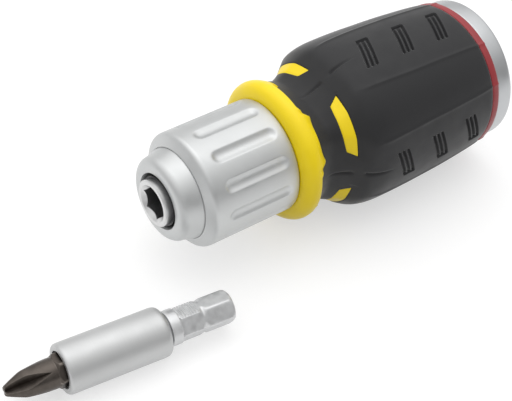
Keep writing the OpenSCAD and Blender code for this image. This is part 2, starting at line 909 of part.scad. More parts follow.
module holder_shank() {
    x_hex = holder_len + neck_len;
    x_shank_end = x_hex + shank_len;
    x_notch = x_shank_end - shank_groove;
    color("silver") at_holder() difference() {
        union() {
            rod(holder_body_r, holder_lip, holder_len - holder_wall);
            rod(neck_groove_r, holder_len - holder_wall, holder_len + neck_groove);
            rod(neck_r, holder_len + neck_groove, x_hex);
            rotate(shank_turn) intersection() {
                hex_rod(shank_af, holder_len + neck_groove, x_shank_end);
                rotate_extrude() polygon([
                    [0, holder_len + neck_groove],
                    [shank_corner_r, holder_len + neck_groove],
                    [shank_corner_r, x_notch - 2 * shank_notch],
                    [shank_notch_r, x_notch - shank_notch],
                    [shank_notch_r, x_notch + shank_notch],
                    [shank_corner_r, x_notch + 2 * shank_notch],
                    [shank_corner_r, x_shank_end - shank_chamfer],
                    [shank_corner_r - shank_chamfer, x_shank_end],
                    [0, x_shank_end]
                ]);
            }
        }
        rotate(bit_turn) hex_rod(socket_af, holder_lip - overrun, holder_bit_depth);
        rod(holder_magnet_r, holder_bit_depth - overrun, holder_bit_depth + holder_magnet_len);
    }
}

module holder_magnet() {
    color("gray") at_holder()
        rod(holder_magnet_r, holder_bit_depth, holder_bit_depth + holder_magnet_len);
}

module bit() {
    color("darkslategray") at_holder()
        translate([0, 0, holder_bit_depth - part_gap - bit_len]) rotate(bit_turn) insert_bit();
}

handle_core();
grip();
end_ring();
end_cap();
cap_screw();
bit_magazine();
spare_bits();
magazine_o_ring();
ratchet_housing();
front_bush();
rear_bush();
thrust_washer();
spindle();
spindle_circlip();
ratchet_gear();
pawl_left();
pawl_right();
pawl_pins();
pawl_springs();
selector_sleeve();
selector_snap_ring();
detent_ball();
detent_spring();
release_collar();
collar_spring();
lock_ball();
collar_retaining_ring();
socket_magnet();
holder_sleeve();
holder_shank();
holder_magnet();
bit();
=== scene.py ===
"""Looks of a stubby ratcheting screwdriver and its loose bit holder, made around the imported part.

Sizes here are millimetres and become metres when a mesh is made. The tool axis is X, from the nose
to the end cap, and angles round it run from +Y to +Z. Shares are of the grip's length or radius.
"""

import json
import math

import bpy
from mathutils import Matrix, Vector


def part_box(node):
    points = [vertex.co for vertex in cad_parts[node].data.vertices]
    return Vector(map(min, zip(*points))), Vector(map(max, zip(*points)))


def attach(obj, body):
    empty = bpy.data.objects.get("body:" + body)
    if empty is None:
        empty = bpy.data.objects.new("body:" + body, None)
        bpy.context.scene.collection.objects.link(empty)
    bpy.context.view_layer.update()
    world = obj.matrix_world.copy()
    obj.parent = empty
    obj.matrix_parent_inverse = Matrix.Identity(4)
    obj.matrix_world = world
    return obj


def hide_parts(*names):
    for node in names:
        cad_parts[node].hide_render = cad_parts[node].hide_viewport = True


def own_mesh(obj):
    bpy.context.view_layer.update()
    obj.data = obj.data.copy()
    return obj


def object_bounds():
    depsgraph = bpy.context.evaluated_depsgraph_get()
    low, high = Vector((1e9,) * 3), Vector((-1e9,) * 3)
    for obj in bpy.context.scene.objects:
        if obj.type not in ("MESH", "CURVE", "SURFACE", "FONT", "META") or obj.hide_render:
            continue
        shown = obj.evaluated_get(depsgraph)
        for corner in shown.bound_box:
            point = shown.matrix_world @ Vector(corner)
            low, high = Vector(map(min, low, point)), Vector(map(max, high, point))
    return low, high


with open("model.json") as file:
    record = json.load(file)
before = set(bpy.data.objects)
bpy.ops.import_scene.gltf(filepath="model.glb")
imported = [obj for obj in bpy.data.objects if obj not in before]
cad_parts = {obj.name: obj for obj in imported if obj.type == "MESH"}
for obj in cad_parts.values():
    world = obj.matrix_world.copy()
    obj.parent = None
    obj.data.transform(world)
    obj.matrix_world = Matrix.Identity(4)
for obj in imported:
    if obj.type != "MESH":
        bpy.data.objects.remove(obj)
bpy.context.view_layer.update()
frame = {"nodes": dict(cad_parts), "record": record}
MM = 0.001


def span(node):
    """Lowest and highest corner of a CAD node, in millimetres."""
    low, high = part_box(node)
    return low / MM, high / MM


def ends(node):
    """First and last place of a CAD node along the tool axis."""
    low, high = span(node)
    return low.x, high.x


def outer_radius(node):
    """Radius of a turned CAD node, from its height over the tool axis."""
    return span(node)[1].z


# Seat of a pawl pin at each of its ends, and room in front of the spare bits
PIN_SEAT = 1.4
CHAMBER_ROOM = 2.0
# Places along the tool axis and radii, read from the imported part
x_sleeve, x_sleeve_end = ends("selector_sleeve")
sleeve_r = outer_radius("selector_sleeve")
x_collar, x_skirt = ends("release_collar")
collar_r = outer_radius("release_collar")
x_ring, x_spigot = ends("handle_core")
x_grip, x_tail = ends("grip")
grip_len = x_tail - x_grip
x_cap, x_end = ends("end_cap")
cap_r = outer_radius("end_cap")
x_house, x_house_end = ends("ratchet_housing")
x_snap, x_snap_end = ends("selector_snap_ring")
x_pin, x_pin_end = ends("pawl_pins")
x_window = x_pin + PIN_SEAT
x_window_end = x_pin_end - PIN_SEAT
x_spring, x_flange = ends("collar_spring")
x_chamber = ends("spare_bits")[0] - CHAMBER_ROOM
floor_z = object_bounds()[0].z

# Bit holder, in a frame of its own along its axis, from its mouth to the end of its shank
HOLDER_LEN = 22.1
HOLDER_TOTAL = 37.1
shank_mount = next(m for m in frame["record"]["mounts"] if m["name"] == "holder_shank")
holder_axis = Vector(shank_mount["axis"])
holder_place = Matrix.Translation(Vector(shank_mount["pos_m"]) - holder_axis * HOLDER_TOTAL * MM)
holder_place @= Matrix.Rotation(math.atan2(holder_axis.y, holder_axis.x), 4, "Z")

# Shared shapes
ARC_STEPS = 6
TURN_STEPS = 192
SHARP = math.radians(35)
# Most of an edge that the rounding of one corner takes
ROUND_SHARE = 0.49


def mix(a, b, t):
    """Value a share t of the way from a to b."""
    return a + (b - a) * t


def clamp(t):
    """t kept within 0 and 1."""
    return min(max(t, 0.0), 1.0)


def smooth(a, b, x):
    """Smooth step from 0 at a to 1 at b."""
    t = clamp((x - a) / (b - a))
    return t * t * (3 - 2 * t)


def soft_min(a, b, k):
    """The lower of a and b, rounded over k where they cross."""
    h = max(k - abs(a - b), 0.0) / k
    return min(a, b) - h * h * k / 4


def along_line(line, x):
    """Height at x of a line through (x, height) points, level past the last one."""
    for (x0, y0), (x1, y1) in zip(line, line[1:]):
        if x <= x1:
            return mix(y0, y1, (x - x0) / (x1 - x0))
    return line[-1][1]


def on_axis(x, r, angle):
    """Point in metres at place x, radius r and an angle in degrees round the tool axis."""
    a = math.radians(angle)
    return Vector((x, r * math.cos(a), r * math.sin(a))) * MM


def rounded(corners):
    """Profile through (x, r, round) corners, each rounded by the length it gives."""
    points = []
    n = len(corners)
    for i, (x, r, cut) in enumerate(corners):
        here = Vector((x, r))
        if cut == 0:
            points.append(here)
            continue
        before = Vector(corners[i - 1][:2]) - here
        after = Vector(corners[(i + 1) % n][:2]) - here
        start = here + before.normalized() * min(cut, before.length * ROUND_SHARE)
        end = here + after.normalized() * min(cut, after.length * ROUND_SHARE)
        for k in range(ARC_STEPS + 1):
            t = k / ARC_STEPS
            points.append(start * (1 - t) ** 2 + here * 2 * t * (1 - t) + end * t ** 2)
    return [(p.x, p.y) for p in points]


def quarter_arc(x, r, along, out):
    """Profile of a quarter ellipse that rises from (x, r) by out and is level after along."""
    steps = ARC_STEPS * 2
    angles = [math.pi / 2 * k / steps for k in range(steps + 1)]
    return [(x + along * (1 - math.cos(a)), r + out * math.sin(a)) for a in angles]


def ring_mesh(name, rings, closed=False):
    """Mesh through rings of equal counts; open ends are capped, and closed joins last to first."""
    n = len(rings[0])
    verts = [p for ring in rings for p in ring]
    faces = []
    rows = len(rings)
    for i in range(rows if closed else rows - 1):
        a = i * n
        b = (i + 1) % rows * n
        for j in range(n):
            k = (j + 1) % n
            faces.append((a + j, a + k, b + k, b + j))
    if not closed:
        for ring, turn in ((0, 1), (rows - 1, -1)):
            middle = len(verts)
            verts.append(sum(rings[ring], Vector()) / n)
            for j in range(n):
                pair = (ring * n + j, ring * n + (j + 1) % n)
                faces.append((middle, *pair[::-turn]))
    mesh = bpy.data.meshes.new(name)
    mesh.from_pydata(verts, [], faces)
    return mesh


def add_piece(name, mesh, material, body, replaced=(), place=None):
    """Object of a finished mesh, which rides on a body and stands for the nodes it replaces."""
    if place is not None:
        mesh.transform(place)
    mesh.validate()
    mesh.shade_smooth()
    mesh.set_sharp_from_angle(angle=SHARP)
    mesh.materials.append(material)
    piece = bpy.data.objects.new(name, mesh)
    bpy.context.scene.collection.objects.link(piece)
    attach(piece, body)
    if replaced:
        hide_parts(*replaced)
    return piece


def turned(name, profile, closed):
    """Mesh of a profile of (x, r) points turned about the X axis."""
    angles = [360 * j / TURN_STEPS for j in range(TURN_STEPS)]
    rings = [[on_axis(x, r, a) for a in angles] for x, r in profile]
    return ring_mesh(name, rings, closed)


# Materials: the part of a noise's values that is spread over a whole scale
NOISE_RANGE = (0.3, 0.7)
# How much lighter the crests of turning lines are
LINE_SHADE = 0.35
# Pointiness over which an edge looks rubbed, and how much of the worn colour it takes
WORN_RANGE = (0.52, 0.6)
WORN_SHARE = 0.6
# Spindle behind its bright face, with painted shade in its socket and on its outer wall in the gap
# round it: shade colour, radii between socket and outer wall, depths over which the shade starts in
# the socket, and how much sooner it starts on the outer wall
NOSE_SHADE = (0.4, 0.4, 0.405)
NOSE_RADII = (3.8 * MM, 3.9 * MM)
NOSE_DEPTHS = (0.7 * MM, 1.1 * MM)
NOSE_WALL_SHIFT = 0.3 * MM


def node(tree, kind, inputs=None, **settings):
    """Shader node with its settings and unlinked inputs."""
    made = tree.nodes.new(kind)
    for key, value in settings.items():
        setattr(made, key, value)
    for key, value in (inputs or {}).items():
        made.inputs[key].default_value = value
    return made


def noise_of(tree, vector, scale, detail=3.0):
    """Noise at a vector, with scale in counts per metre."""
    made = node(tree, "ShaderNodeTexNoise", {"Scale": scale, "Detail": detail})
    tree.links.new(vector, made.inputs["Vector"])
    return made.outputs["Fac"]


def ranged(tree, value, low, high, to_low, to_high):
    """Value mapped from one range to another."""
    made = node(tree, "ShaderNodeMapRange", {1: low, 2: high, 3: to_low, 4: to_high})
    tree.links.new(value, made.inputs[0])
    return made.outputs[0]


def combined(tree, operation, first, second):
    """Result of a math node on two outputs."""
    made = node(tree, "ShaderNodeMath", operation=operation)
    tree.links.new(first, made.inputs[0])
    tree.links.new(second, made.inputs[1])
    return made.outputs[0]


def mixed(tree, factor, first, second):
    """Colour between two, each a colour or an output."""
    made = node(tree, "ShaderNodeMix", data_type="RGBA")
    tree.links.new(factor, made.inputs[0])
    for socket, value in ((6, first), (7, second)):
        if isinstance(value, tuple):
            made.inputs[socket].default_value = (*value, 1.0)
        else:
            tree.links.new(value, made.inputs[socket])
    return made.outputs[2]


def split(tree, vector):
    """Outputs for the three parts of a vector."""
    parts = node(tree, "ShaderNodeSeparateXYZ")
    tree.links.new(vector, parts.inputs[0])
    return parts.outputs


def axis_distance(tree, parts):
    """Distance from the X axis, of coordinates split into parts."""
    squares = [combined(tree, "MULTIPLY", parts[axis], parts[axis]) for axis in (1, 2)]
    root = node(tree, "ShaderNodeMath", operation="SQRT")
    tree.links.new(combined(tree, "ADD", *squares), root.inputs[0])
    return root.outputs[0]


def turning_lines(tree, coordinates, per_mm):
    """Pattern of fine lines as a lathe leaves them: along the axis on walls, outwards on faces."""
    parts = split(tree, coordinates)
    along = combined(tree, "ADD", parts[0], axis_distance(tree, parts))
    lines = node(tree, "ShaderNodeTexNoise", {"Scale": per_mm / MM, "Detail": 2.0},
                 noise_dimensions="1D")
    tree.links.new(along, lines.inputs["W"])
    return lines.outputs["Fac"]


def surface(name, colour, rough, metal=0.0, tone=0.06, spread=0.06, blotch=0.25, grain=5.0,
            grain_mm=0.006, lines=0.0, lines_mm=0.004, worn=None, sockets=None, place=None):
    """Material with blotches of tone, uneven roughness, fine grain and, if asked, turning lines.

    blotch, grain and lines are counts per millimetre; grain_mm and lines_mm are heights; worn is
    the colour of rubbed edges; place is the frame whose X axis the lines were turned about.
    """
    material = bpy.data.materials.new(name)
    material.use_nodes = True
    tree = material.node_tree
    shader = tree.nodes["Principled BSDF"]
    shader.inputs["Metallic"].default_value = metal
    for key, value in (sockets or {}).items():
        shader.inputs[key].default_value = value
    coordinates = node(tree, "ShaderNodeTexCoord").outputs["Object"]
    if place is not None:
        frame_of = {"Location": place.translation, "Rotation": place.to_euler()}
        inverse = node(tree, "ShaderNodeMapping", frame_of, vector_type="TEXTURE")
        tree.links.new(coordinates, inverse.inputs["Vector"])
        coordinates = inverse.outputs[0]
    patches = noise_of(tree, coordinates, blotch / MM)
    fine = noise_of(tree, coordinates, grain / MM)
    dark = tuple(c * (1 - tone) for c in colour)
    light = tuple(min(c * (1 + tone), 1.0) for c in colour)
    shade = mixed(tree, ranged(tree, patches, *NOISE_RANGE, 0.0, 1.0), dark, light)
    rough_value = ranged(tree, patches, *NOISE_RANGE, rough - spread, rough + spread)
    bump = node(tree, "ShaderNodeBump", {"Strength": 1.0, "Distance": grain_mm * MM})
    tree.links.new(fine, bump.inputs["Height"])
    normal = bump.outputs[0]
    if lines:
        ridges = turning_lines(tree, coordinates, lines)
        second = node(tree, "ShaderNodeBump", {"Strength": 1.0, "Distance": lines_mm * MM})
        tree.links.new(ridges, second.inputs["Height"])
        tree.links.new(normal, second.inputs["Normal"])
        normal = second.outputs[0]
        shade = mixed(tree, ranged(tree, ridges, *NOISE_RANGE, 0.0, LINE_SHADE), shade, light)
    if worn:
        point = node(tree, "ShaderNodeNewGeometry").outputs["Pointiness"]
        shade = mixed(tree, ranged(tree, point, *WORN_RANGE, 0.0, WORN_SHARE), shade, worn)
    tree.links.new(shade, shader.inputs["Base Color"])
    tree.links.new(rough_value, shader.inputs["Roughness"])
    tree.links.new(normal, shader.inputs["Normal"])
    return material


def paint_nose_shade(material):
    """Painted shade on the steel: in the socket, from just behind its countersink, and on the outer
    wall.
    """
    tree = material.node_tree
    colour = tree.nodes["Principled BSDF"].inputs["Base Color"]
    plain = colour.links[0].from_socket
    parts = split(tree, node(tree, "ShaderNodeTexCoord").outputs["Object"])
    outside = ranged(tree, axis_distance(tree, parts), *NOSE_RADII, 0.0, NOSE_WALL_SHIFT)
    deep = ranged(tree, combined(tree, "ADD", parts[0], outside), *NOSE_DEPTHS, 0.0, 1.0)
    tree.links.new(mixed(tree, deep, plain, NOSE_SHADE), colour)


satin_metal = surface("satin_metal", (0.59, 0.60, 0.60), 0.46, 1.0, tone=0.03, grain=9.0,
                      grain_mm=0.003)
holder_metal = surface("holder_metal", (0.57, 0.575, 0.575), 0.51, 1.0, tone=0.03, grain=9.0,
                       grain_mm=0.003, lines=3.0, lines_mm=0.0015, place=holder_place)
cap_metal = surface("cap_metal", (0.51, 0.52, 0.53), 0.36, 1.0, tone=0.03, lines=5.0)
shank_metal = surface("shank_metal", (0.63, 0.635, 0.64), 0.46, 1.0, tone=0.08, spread=0.08,
                      blotch=0.7, grain=4.0, grain_mm=0.01)
nose_steel = surface("nose_steel", (0.66, 0.66, 0.66), 0.36, 1.0, lines=6.0, lines_mm=0.002)
# Painted shade in the spindle's socket and on its outer wall in the gap round it
paint_nose_shade(nose_steel)
yellow_plastic = surface("yellow_plastic", (0.99, 0.74, 0.006), 0.36, tone=0.02, grain=2.5,
                         grain_mm=0.004, sockets={"Specular IOR Level": 0.4})
grip_rubber = surface("grip_rubber", (0.0165, 0.0165, 0.018), 0.56, tone=0.10, spread=0.07,
                      grain=4.0, grain_mm=0.012, worn=(0.05, 0.05, 0.052),
                      sockets={"Specular IOR Level": 0.38, "Sheen Weight": 0.42,
                               "Sheen Roughness": 0.35})
red_plastic = surface("red_plastic", (0.32, 0.028, 0.034), 0.40, tone=0.05, grain=3.0)
tool_steel = surface("tool_steel", (0.46, 0.46, 0.47), 0.32, 1.0, lines=7.0)
dark_steel = surface("dark_steel", (0.1, 0.086, 0.076), 0.34, 1.0, tone=0.15, blotch=0.6,
                     grain=6.0, worn=(0.30, 0.27, 0.24))
spring_steel = surface("spring_steel", (0.36, 0.36, 0.37), 0.30, 1.0)
dark_clip = surface("dark_clip", (0.05, 0.05, 0.052), 0.35, 1.0)
die_cast = surface("die_cast", (0.5, 0.5, 0.51), 0.45, 1.0, tone=0.10, grain=4.0, grain_mm=0.012)
bronze = surface("bronze", (0.55, 0.38, 0.16), 0.40, 1.0, tone=0.10, lines=4.0)
dark_plastic = surface("dark_plastic", (0.05, 0.05, 0.052), 0.48, tone=0.10, grain=4.0,
                       grain_mm=0.008)
seal_rubber = surface("seal_rubber", (0.02, 0.02, 0.02), 0.55, tone=0.15)
magnet = surface("magnet", (0.6, 0.6, 0.6), 0.25, 1.0)

# CAD nodes that show as they are
NODE_MATERIALS = {
    "ratchet_housing": die_cast, "front_bush": bronze, "rear_bush": bronze,
    "thrust_washer": tool_steel, "pawl_pins": tool_steel, "pawl_springs": spring_steel,
    "selector_snap_ring": spring_steel, "detent_ball": tool_steel, "detent_spring": spring_steel,
    "spindle": nose_steel, "ratchet_gear": tool_steel, "spindle_circlip": spring_steel,
    "collar_retaining_ring": dark_clip, "socket_magnet": magnet, "lock_ball": tool_steel,
    "pawl_left": tool_steel, "pawl_right": tool_steel, "cap_screw": tool_steel,
    "bit_magazine": dark_plastic, "spare_bits": dark_steel, "magazine_o_ring": seal_rubber,
    "holder_magnet": magnet,
}
for name, material in NODE_MATERIALS.items():
    mesh = frame["nodes"][name].data
    mesh.materials.clear()
    mesh.materials.append(material)

# Grip skin: share of length, plain and grooved panel as shares of the radius, half panel angle
GRIP_R = 18.389
GRIP_SHARES = (
    (0.000, 0.818, 0.758, 5.0), (0.033, 0.786, 0.715, 5.0), (0.097, 0.738, 0.662, 5.0),
    (0.139, 0.770, 0.690, 6.0), (0.183, 0.835, 0.750, 9.0), (0.226, 0.907, 0.832, 14.0),
    (0.268, 0.965, 0.908, 19.0), (0.322, 0.993, 0.950, 19.4), (0.386, 1.000, 0.965, 19.0),
    (0.505, 0.997, 0.965, 18.3), (0.611, 0.986, 0.957, 17.8), (0.719, 0.974, 0.946, 17.6),
    (0.826, 0.955, 0.932, 17.3), (0.934, 0.931, 0.913, 17.0), (1.000, 0.910, 0.895, 16.5),
)
LOBE_TURN = 46.2
QUARTERS = 4
QUARTER = 90
HALF_QUARTER = 45
# Rounding of the panels' ridges, in degrees, and the bead on them: height, half width, and the
# shares of the length over which it rises
RIDGE_ROUND = 2.0
BEAD = 0.16
BEAD_W = 0.42
BEAD_RISE = (0.26, 0.36)


def lobed(x, r, q, a):
    """Point at place x and radius r, at angle a from the middle of plain panel q."""
    return on_axis(x, r, LOBE_TURN + QUARTER * q + a)


def curve_at(s, column):
    """Smooth curve through a column of the grip's table."""
    last = len(GRIP_SHARES) - 1
    i = max(k for k in range(last) if k == 0 or s >= GRIP_SHARES[k][0])

    def slope(k):
        a = GRIP_SHARES[max(k - 1, 0)]
        b = GRIP_SHARES[min(k + 1, last)]
        return (b[column] - a[column]) / (b[0] - a[0])

    low, high = GRIP_SHARES[i], GRIP_SHARES[i + 1]
    h = high[0] - low[0]
    u = (s - low[0]) / h
    return (low[column] * (1 + 2 * u) * (1 - u) ** 2 + slope(i) * h * u * (1 - u) ** 2
            + high[column] * u * u * (3 - 2 * u) + slope(i + 1) * h * u * u * (u - 1))


def grip_share(x):
    """Share of the grip's length at place x."""
    return clamp((x - x_grip) / grip_len)


def panel_half(x):
    """Half angle of a plain panel at place x."""
    return curve_at(grip_share(x), 3)


def skin(x, a):
    """Radius of the grip at place x and angle a from the middle of a plain panel."""
    s = grip_share(x)
    half = curve_at(s, 3)
    lobe = curve_at(s, 1)
    flat = curve_at(s, 2)
    over = abs(a) - half
    over = (over + math.hypot(over, RIDGE_ROUND)) / 2
    t = min(over / (HALF_QUARTER - half), 1.0)
    away = math.radians(abs(a) - half) * GRIP_R / BEAD_W
    bead = BEAD * smooth(*BEAD_RISE, s) * math.exp(-away * away)
    return GRIP_R * (flat + (lobe - flat) * (1 - t) ** 2) + bead


# Yellow petals: front and rear edge, half angles, bends, and how they sit in the grip
PETAL_FRONT = x_grip + 7.0
PETAL_REAR = x_grip + 9.33
PETAL_FRONT_HALF = 21.6
PETAL_REAR_HALF = 27.3
PETAL_FRONT_BOW = 0.6
PETAL_REAR_BOW = 0.25
PETAL_SINK = 0.06
PETAL_GAP = 0.05
PETAL_DEEP = 0.9
PETAL_LIP = 0.08
# Lengths over which the bends fade, the angle where they end, and the length over which the main
# edge runs from a petal to the plain panel's ridge
BOW_FADE_FRONT = 2.2
BOW_FADE_REAR = 2.5
BOW_END = 40
EDGE_FADE = 5
# How near, along the grip and in degrees, a point counts as being on a petal's rim
RIM_NEAR = 0.01
RIM_ANGLE = 0.05
# Reach of a tooth of the front ring, by angle from its middle
TOOTH_LINE = ((0, 1.1), (6, 1.13), (12, 1.38), (17, 1.85), (20.5, 2.35), (21.7, 2.35), (23.6, 1.7),
              (26.6, 0.4), (29.2, -0.25), (31.0, -0.38), (45, -0.38))


def tooth_reach(a):
    """How far the front ring's tooth reaches at an angle."""
    return along_line(TOOTH_LINE, abs(a))


def front_edge(a):
    """Place where the front ring ends and the grip starts at an angle."""
    return x_grip + tooth_reach(a)


def petal_share(x):
    """Share of the way from the petals' front edge to their rear edge."""
    return (x - PETAL_FRONT) / (PETAL_REAR - PETAL_FRONT)


def edge_line(x):
    """Half angle of the main edge at place x: tooth, petal, then the plain panel's ridge."""
    if x <= PETAL_FRONT:
        return PETAL_FRONT_HALF
    if x <= PETAL_REAR:
        return mix(PETAL_FRONT_HALF, PETAL_REAR_HALF, petal_share(x))
    return mix(PETAL_REAR_HALF, panel_half(x), smooth(PETAL_REAR, PETAL_REAR + EDGE_FADE, x))


def bow(x, a):
    """Shift along the axis that bends the petals' front and rear edges."""
    if x < PETAL_FRONT:
        size = PETAL_FRONT_BOW * smooth(PETAL_FRONT - BOW_FADE_FRONT, PETAL_FRONT, x)
    elif x < PETAL_REAR:
        size = mix(PETAL_FRONT_BOW, PETAL_REAR_BOW, petal_share(x))
    else:
        size = PETAL_REAR_BOW * (1 - smooth(PETAL_REAR, PETAL_REAR + BOW_FADE_REAR, x))
    e = edge_line(x)
    return size * min(abs(a) / e, 1.0) ** 2 * (1 - smooth(e, BOW_END, abs(a)))


def petal_seat(x, a):
    """Depth of the seat under a petal: full inside its outline, a rounded lip on it."""
    e = edge_line(x)
    if not PETAL_FRONT <= x <= PETAL_REAR or abs(a) > e + RIM_NEAR:
        return 0.0
    on_rim = min(x - PETAL_FRONT, PETAL_REAR - x) < RIM_NEAR or abs(a) > e - RIM_ANGLE
    return PETAL_LIP if on_rim else PETAL_DEEP


# Grooves: group places, size and slant, in the middle of each grooved panel
GROUP_PLACES = tuple(x_grip + s * grip_len for s in (0.452, 0.665, 0.876))
GROUP_REACH = 5
GROUP_MARGIN = 1
GROOVE_COUNT = 3
GROOVE_W = 0.62
GROOVE_PITCH = 1.2
GROOVE_DEPTH = 0.6
GROOVE_HALF = 0.203 * GRIP_R
GROOVE_SLANT = 0.42
GROOVE_LIP = 0.14
GROOVE_EDGE = 0.05
# Where the rows of points start to slant and cease to, along the grip and across a panel
SHEAR_START = (44.5, 50.2)
SHEAR_END = 74.5
SHEAR_EDGE = 0.4
SHEAR_FADE = 7.4
# Short creases on the middle of each grooved panel: thin and thick ends, and depth at the thick end
CREASES = ((35.6, 40.9, 0.5), (49.6, 43.5, 0.55))
CREASE_THIN = 0.2
CREASE_THICK = 0.42
# Shares of a crease over which it deepens, and ends
CREASE_START = (0.0, 0.3)
CREASE_END = (0.97, 1.1)


def shear(x, y):
    """Shift along the axis that lines the grip's rows up with the slanted grooves."""
    inside = smooth(*SHEAR_START, x) * (1 - smooth(SHEAR_END, x_tail, x))
    return GROOVE_SLANT * y * inside * (1 - smooth(GROOVE_HALF + SHEAR_EDGE, SHEAR_FADE, abs(y)))


def capsule(px, py, ax, ay, bx, by):
    """Distance from a point to a segment."""
    dx = bx - ax
    dy = by - ay
    t = clamp(((px - ax) * dx + (py - ay) * dy) / (dx * dx + dy * dy))
    return math.hypot(px - ax - t * dx, py - ay - t * dy)


def groove_drop(x, y):
    """Depth of the grooves at place x and distance y across a grooved panel, rear ends at +y."""
    lean = GROOVE_SLANT * GROOVE_HALF
    half = GROOVE_W / 2
    for place in GROUP_PLACES:
        if abs(x - place) > GROUP_REACH or abs(y) > GROOVE_HALF + GROUP_MARGIN:
            continue
        first = place - GROOVE_PITCH
        last = place + GROOVE_PITCH
        near = capsule(x, y, first + lean, GROOVE_HALF, last + lean, GROOVE_HALF)
        for k in range(GROOVE_COUNT):
            middle = first + k * GROOVE_PITCH
            near = min(near, capsule(x, y, middle - lean, -GROOVE_HALF, middle + lean, GROOVE_HALF))
        return GROOVE_DEPTH * (1 - smooth(half - GROOVE_LIP, half + GROOVE_LIP, near))
    return 0.0


def crease_drop(x, y):
    """Depth of the creases at place x and distance y from the middle of a grooved panel."""
    drop = 0.0
    for thin, thick, deep in CREASES:
        t = (x - thin) / (thick - thin)
        along = smooth(*CREASE_START, t) * clamp(t) * (1 - smooth(*CREASE_END, t))
        width = mix(CREASE_THIN, CREASE_THICK, clamp(t))
        drop += deep * along * math.exp(-(y / width) ** 2)
    return drop


def groove_lines():
    """Places, before the shear, of the rows of points that carve one group of grooves."""
    half = GROOVE_W / 2
    steps = (-half - GROOVE_LIP, -half - GROOVE_EDGE, -half + GROOVE_EDGE, -half + GROOVE_LIP, 0.0)
    across = list(steps) + [-d for d in reversed(steps[:-1])]
    stretch = math.hypot(1, GROOVE_SLANT)
    return [(k - 1) * GROOVE_PITCH + d * stretch for k in range(GROOVE_COUNT) for d in across]


# Points round an eighth of the grip: shares of the main edge's angle, degrees past that edge,
# shares of the way on from there, and degrees short of a grooved panel's middle
LOBE_SHARES = (0.0, 0.12, 0.25, 0.38, 0.52, 0.66, 0.78, 0.85, 0.9, 0.94, 0.97)
RIM_OFFSETS = (-0.12, 0.0, 0.3, 0.9, 1.6, 2.6)
BRIDGE_SHARES = (0.3, 0.65)
FLAT_OFFSETS = (16.2, 15.4, 14.9, 14.4, 13.9, 13.4, 12.9, 12.4, 11.7, 10.5, 8.5, 6.5, 5.0, 3.8, 2.8,
                2.1, 1.5, 0.9, 0.4, 0.0)
# Rows of points along the grip: places, distances from the petals' edges, and shares between these
NECK_ROWS = (37.2, 37.9, 38.4)
PETAL_FRONT_ROWS = (-0.3, -0.08, 0.0, 0.03)
PETAL_SEAT_ROWS = (0.2, 0.4, 0.6, 0.8)
PETAL_REAR_ROWS = (-0.03, 0.0, 0.08, 0.35)
SHOULDER_ROWS = (42.2, 42.7, 43.1, 43.5, 44.0, 44.6, 45.4, 46.2, 47.0, 47.8, 48.6, 49.4, 50.2, 50.9)
PANEL_ROWS = (55.2, 56.4, 57.6, 58.8, 60.0, 60.8, 65.2, 66.4, 67.6, 68.8, 70.0, 70.8, 75.0, 76.0,
              77.0)
TAIL_ROW = 0.7
# Front of the grip: first full row, gap to the ring's teeth, the neck's radius as a share, drops of
# the edge, and shares of the way from the edge to the first full row
FIRST_ROW = 36.6
TOOTH_GAP = 0.03
NECK_SHARE = 0.7
EDGE_DROPS = (0.3, 0.07)
FRONT_SHARES = (0.02, 0.05, 0.12, 0.25, 0.4, 0.55, 0.7, 0.85, 1.0)
# Rounded rear edge of the grip: distance from its end and drop
TAIL_ROUND = ((0.3, 0.03), (0.12, 0.12), (0.0, 0.35))
# Core under the grip, as shares of its length and radius, and the gap round it
CORE_LINE = ((0.0, 0.63), (0.117, 0.61), (0.32, 0.826), (0.797, 0.815), (1.0, 0.772))
CORE_GAP = 0.05


def quarter_angles(x):
    """Angles from the middle of a plain panel to the middle of a grooved one, at place x."""
    e = edge_line(x)
    lobe = [e * t for t in LOBE_SHARES]
    rim = [e + d for d in RIM_OFFSETS]
    flat = [HALF_QUARTER - d for d in FLAT_OFFSETS]
    bridge = [mix(rim[-1], flat[0], t) for t in BRIDGE_SHARES]
    return lobe + rim + bridge + flat


def ring_angles(x):
    """Pairs of quarter and angle from its plain panel's middle, once round the grip."""
    half = quarter_angles(x)
    line = [-a for a in reversed(half[1:])] + half[:-1]
    return [(q, a) for q in range(QUARTERS) for a in line]


def panel_side(q, a):
    """Side of the nearer grooved panel's middle, +1 where its grooves have their rear ends."""
    towards = 1 if a > 0 else -1
    flip = 1 if (q + (1 if a > 0 else 0)) % 2 == 0 else -1
    return towards * -flip


def grip_point(x, q, a):
    """Point of the grip's skin, with grooves, creases and the seats of the petals."""
    seat = petal_seat(x, a)
    x += bow(x, a)
    y = skin(x, a) * math.sin(math.radians(HALF_QUARTER - abs(a))) * panel_side(q, a)
    x += shear(x, y)
    r = skin(x, a) - (groove_drop(x, y) + crease_drop(x, abs(y)) + seat)
    return lobed(x, r, q, a)


def grip_rows():
    """Places of the full rows of points along the grip."""
    rows = [*NECK_ROWS, *SHOULDER_ROWS, *PANEL_ROWS, x_tail - TAIL_ROW]
    rows += [PETAL_FRONT + d for d in PETAL_FRONT_ROWS]
    rows += [mix(PETAL_FRONT, PETAL_REAR, t) for t in PETAL_SEAT_ROWS]
    rows += [PETAL_REAR + d for d in PETAL_REAR_ROWS]
    rows += [place + d for place in GROUP_PLACES for d in groove_lines()]
    return sorted(rows)


def core_line(grow):
    """Profile of the core under the grip, made larger by grow."""
    return [(x_grip + s * grip_len, share * GRIP_R + grow) for s, share in CORE_LINE]


